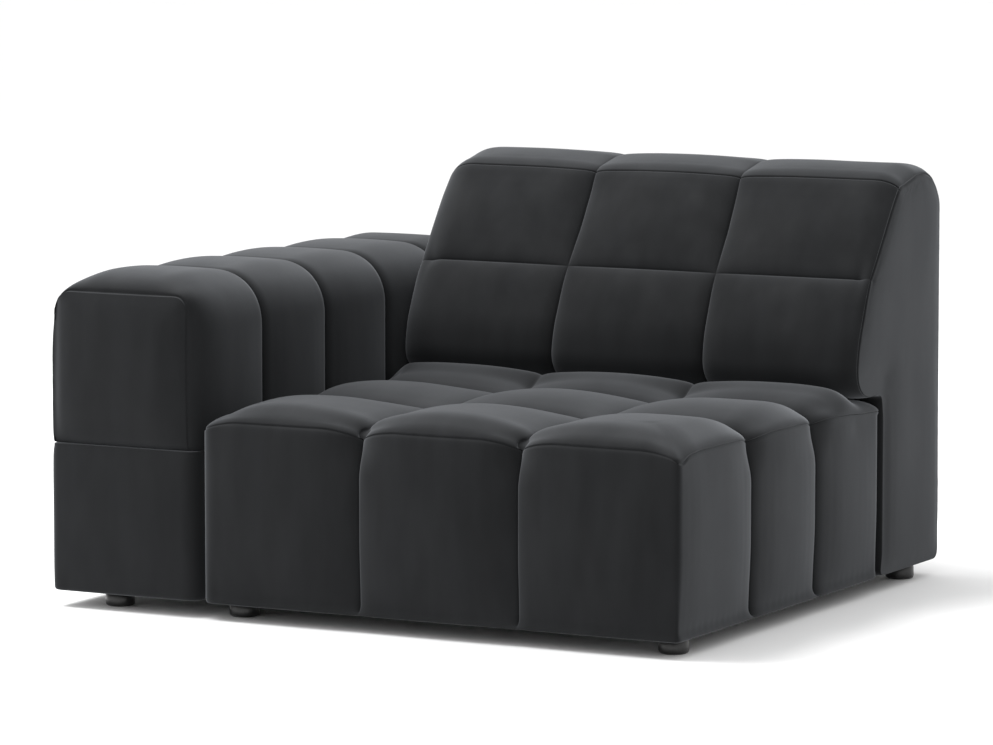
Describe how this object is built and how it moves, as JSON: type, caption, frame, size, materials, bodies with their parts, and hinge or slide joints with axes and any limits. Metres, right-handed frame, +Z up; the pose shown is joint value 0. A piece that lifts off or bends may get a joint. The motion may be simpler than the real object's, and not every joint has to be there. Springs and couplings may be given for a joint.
{
  "type": "modular sofa unit",
  "caption": "Left-armed tufted daybed or corner sofa unit: channelled arm, deep cell-tufted seat with an open right side, leaning back with a nose, low round feet.",
  "frame": {"origin": "on the floor, under the middle of the outer box", "axes": "+Z up, +X towards the open side (right of a viewer who faces the front), -Y towards the front of the seat"},
  "size_m": [1.24, 1.09, 0.765],
  "materials": {
    "dust_cloth": "thin black non-woven",
    "felt": "grey spring felt",
    "fibre_pad": "white polyester fibre",
    "fibreboard": "hard fibreboard",
    "foam": "open cell upholstery foam",
    "foot_plastic": "satin black",
    "insert_brass": "bright",
    "pine": "planed pine",
    "plywood": "raw birch plywood",
    "velvet": "short pile velvet, charcoal",
    "webbing": "woven elastic webbing",
    "zinc_steel": "zinc plated"
  },
  "bodies": {
    "root": {"arm_base_cover": "velvet", "arm_base_foam": "foam", "arm_bottom_board": "plywood", "arm_channel_cover": "velvet", "arm_dust_cover": "dust_cloth", "arm_end_boards": "plywood", "arm_end_covers": "velvet", "arm_end_foams": "foam", "arm_inner_pads": "fibre_pad", "arm_joining_rail": "pine", "arm_outer_pads": "fibre_pad", "arm_ribs": "plywood", "arm_side_panels": "fibreboard", "arm_top_board": "plywood", "arm_top_foam": "foam", "arm_top_pads": "fibre_pad", "back_base_cover": "velvet", "back_base_foam": "foam", "back_base_panel": "fibreboard", "back_bottom_battens": "pine", "back_cell_pads": "fibre_pad", "back_dust_cover": "dust_cloth", "back_front_cover": "velvet", "back_lower_rail": "pine", "back_middle_ribs": "plywood", "back_nose_rail": "pine", "back_rear_cover": "velvet", "back_rear_foam": "foam", "back_rear_panel": "fibreboard", "back_side_covers": "velvet", "back_side_foams": "foam", "back_side_ribs": "plywood", "back_top_cover": "velvet", "back_top_pads": "fibre_pad", "back_top_rail": "pine", "back_webbing": "webbing", "feet": "foot_plastic", "foot_inserts": "insert_brass", "foot_studs": "zinc_steel", "joining_bolts": "zinc_steel", "joining_tee_nuts": "zinc_steel", "joining_washers": "zinc_steel", "seat_base_battens": "pine", "seat_border_cover": "velvet", "seat_cell_pads": "fibre_pad", "seat_corner_posts": "pine", "seat_dust_cover": "dust_cloth", "seat_foam_core": "foam", "seat_front_board": "plywood", "seat_front_pads": "fibre_pad", "seat_plain_cover": "velvet", "seat_rear_board": "plywood", "seat_side_boards": "plywood", "seat_side_pads": "fibre_pad", "seat_spring_clips": "zinc_steel", "seat_spring_felt": "felt", "seat_springs": "zinc_steel", "seat_top_cover": "velvet"}
  },
  "joints": []
}
